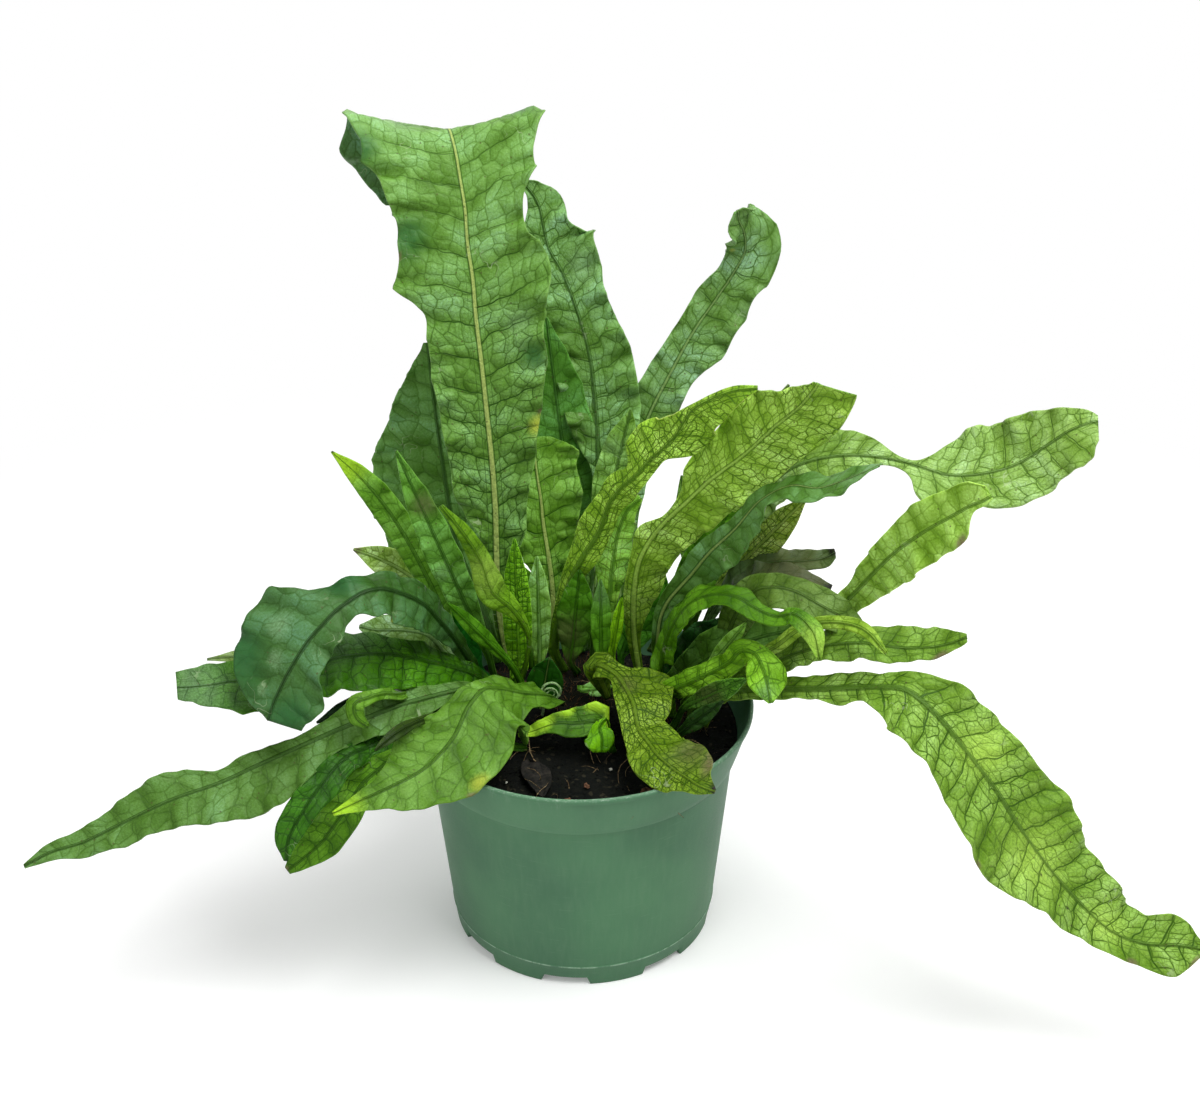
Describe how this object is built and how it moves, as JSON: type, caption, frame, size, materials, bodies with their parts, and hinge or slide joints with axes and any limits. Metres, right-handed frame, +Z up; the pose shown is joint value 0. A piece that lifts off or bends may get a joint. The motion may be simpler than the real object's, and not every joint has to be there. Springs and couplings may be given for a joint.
{
  "type": "potted fern",
  "caption": "Crocodile fern with many strap-like, cobbled fronds arching from creeping rhizomes in a tapered round plastic nursery pot filled with dark soil.",
  "frame": {"origin": "centre of the pot's base, on the surface it stands on", "axes": "+Z up along the pot's axis, -Y towards the plant's front, +X to the right of a viewer at the front and along the longest frond spread"},
  "size_m": [0.5202, 0.2494, 0.3704],
  "materials": {
    "pot_plastic": "satin moulded plastic with fine scuffs",
    "soil": "moist dark potting soil with pale fibres",
    "rhizome": "dark, hairy creeping stem",
    "frond_mid_green": "waxy leaf, puffed between dark veins",
    "frond_light_green": "young or lit leaf, paler between dark veins",
    "frond_dark_green": "glossy dark leaf",
    "frond_old": "ageing greyish leaf with brown tips",
    "dead_leaf": "dry brown leaf"
  },
  "bodies": {
    "root": {"pot": "pot_plastic", "soil": "soil", "rhizome_left": "rhizome", "rhizome_centre": "rhizome", "rhizome_right": "rhizome", "frond_tall_front": "frond_mid_green", "frond_tall_back": "frond_mid_green", "frond_centre_upright": "frond_mid_green", "frond_back_left": "frond_dark_green", "frond_upright_right": "frond_mid_green", "frond_folded_light": "frond_light_green", "frond_rounded": "frond_mid_green", "frond_broad_light": "frond_light_green", "frond_dark_blue": "frond_dark_green", "frond_far_arch": "frond_mid_green", "frond_right_strip": "frond_light_green", "frond_dark_tip_upper": "frond_old", "frond_dark_tip_lower": "frond_old", "frond_right_grey_broad": "frond_old", "frond_right_low_long": "frond_mid_green", "frond_right_droop": "frond_light_green", "frond_front_drape": "frond_light_green", "frond_front_small_flat": "frond_light_green", "frond_front_small_round": "frond_light_green", "frond_front_left_big": "frond_mid_green", "frond_left_long_low": "frond_mid_green", "frond_left_low_a": "frond_mid_green", "frond_left_low_b": "frond_mid_green", "frond_left_dark_curl": "frond_dark_green", "frond_left_mid_flat": "frond_mid_green", "frond_left_narrow_high": "frond_dark_green", "frond_left_narrow_mid": "frond_dark_green", "frond_left_twisted": "frond_light_green", "frond_centre_bumpy": "frond_mid_green", "frond_centre_grey": "frond_dark_green", "frond_centre_brown": "frond_old", "frond_centre_pale": "frond_mid_green", "frond_centre_finger": "frond_light_green", "frond_right_wavy": "frond_light_green", "frond_right_grey": "frond_old", "frond_right_finger": "frond_light_green", "frond_right_curl": "frond_light_green", "frond_right_shade": "frond_dark_green", "frond_right_old_low": "frond_old", "frond_right_low_small": "frond_light_green", "frond_front_teal_small": "frond_dark_green", "frond_left_back_pointed": "frond_old", "frond_left_back_grey": "frond_old", "frond_left_tip_small": "frond_light_green", "frond_lit_underside": "frond_light_green", "frond_left_far_tip": "frond_light_green", "frond_left_shade": "frond_dark_green", "fiddlehead": "frond_light_green", "dead_leaf": "dead_leaf"}
  },
  "joints": []
}
